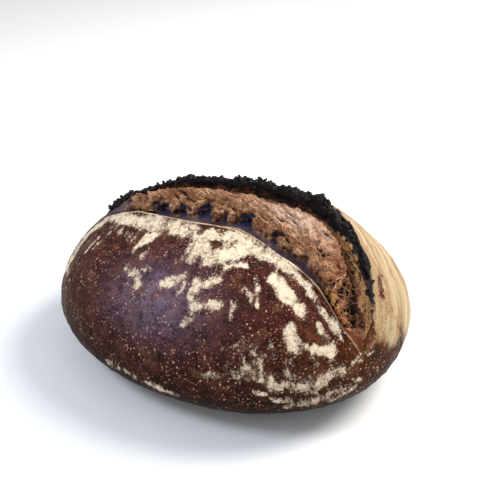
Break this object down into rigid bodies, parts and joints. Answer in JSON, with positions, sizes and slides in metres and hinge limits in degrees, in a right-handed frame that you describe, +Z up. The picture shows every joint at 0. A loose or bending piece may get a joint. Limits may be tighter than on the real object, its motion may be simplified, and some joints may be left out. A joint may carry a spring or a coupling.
{
  "type": "rye bread loaf",
  "caption": "Oval dark rye bread loaf with a long off-centre cut burst open along the top: raised ear, rough bloom, narrow channel and low lip.",
  "frame": {"origin": "centre of the loaf's box in plan, on the surface it stands on", "axes": "+X along the loaf to the end where the cut runs down the side, +Y to the side of the raised ear, +Z up"},
  "size_m": [0.26, 0.2198, 0.1281],
  "materials": {
    "crust": "dark baked crust with fine blisters and patches of flour, semi-matt",
    "bloom": "torn open crumb of the cut, baked tan to brown, rough and matt",
    "char": "burnt black edge of the ear, rough"
  },
  "bodies": {
    "root": {"loaf": "crust"}
  },
  "joints": []
}
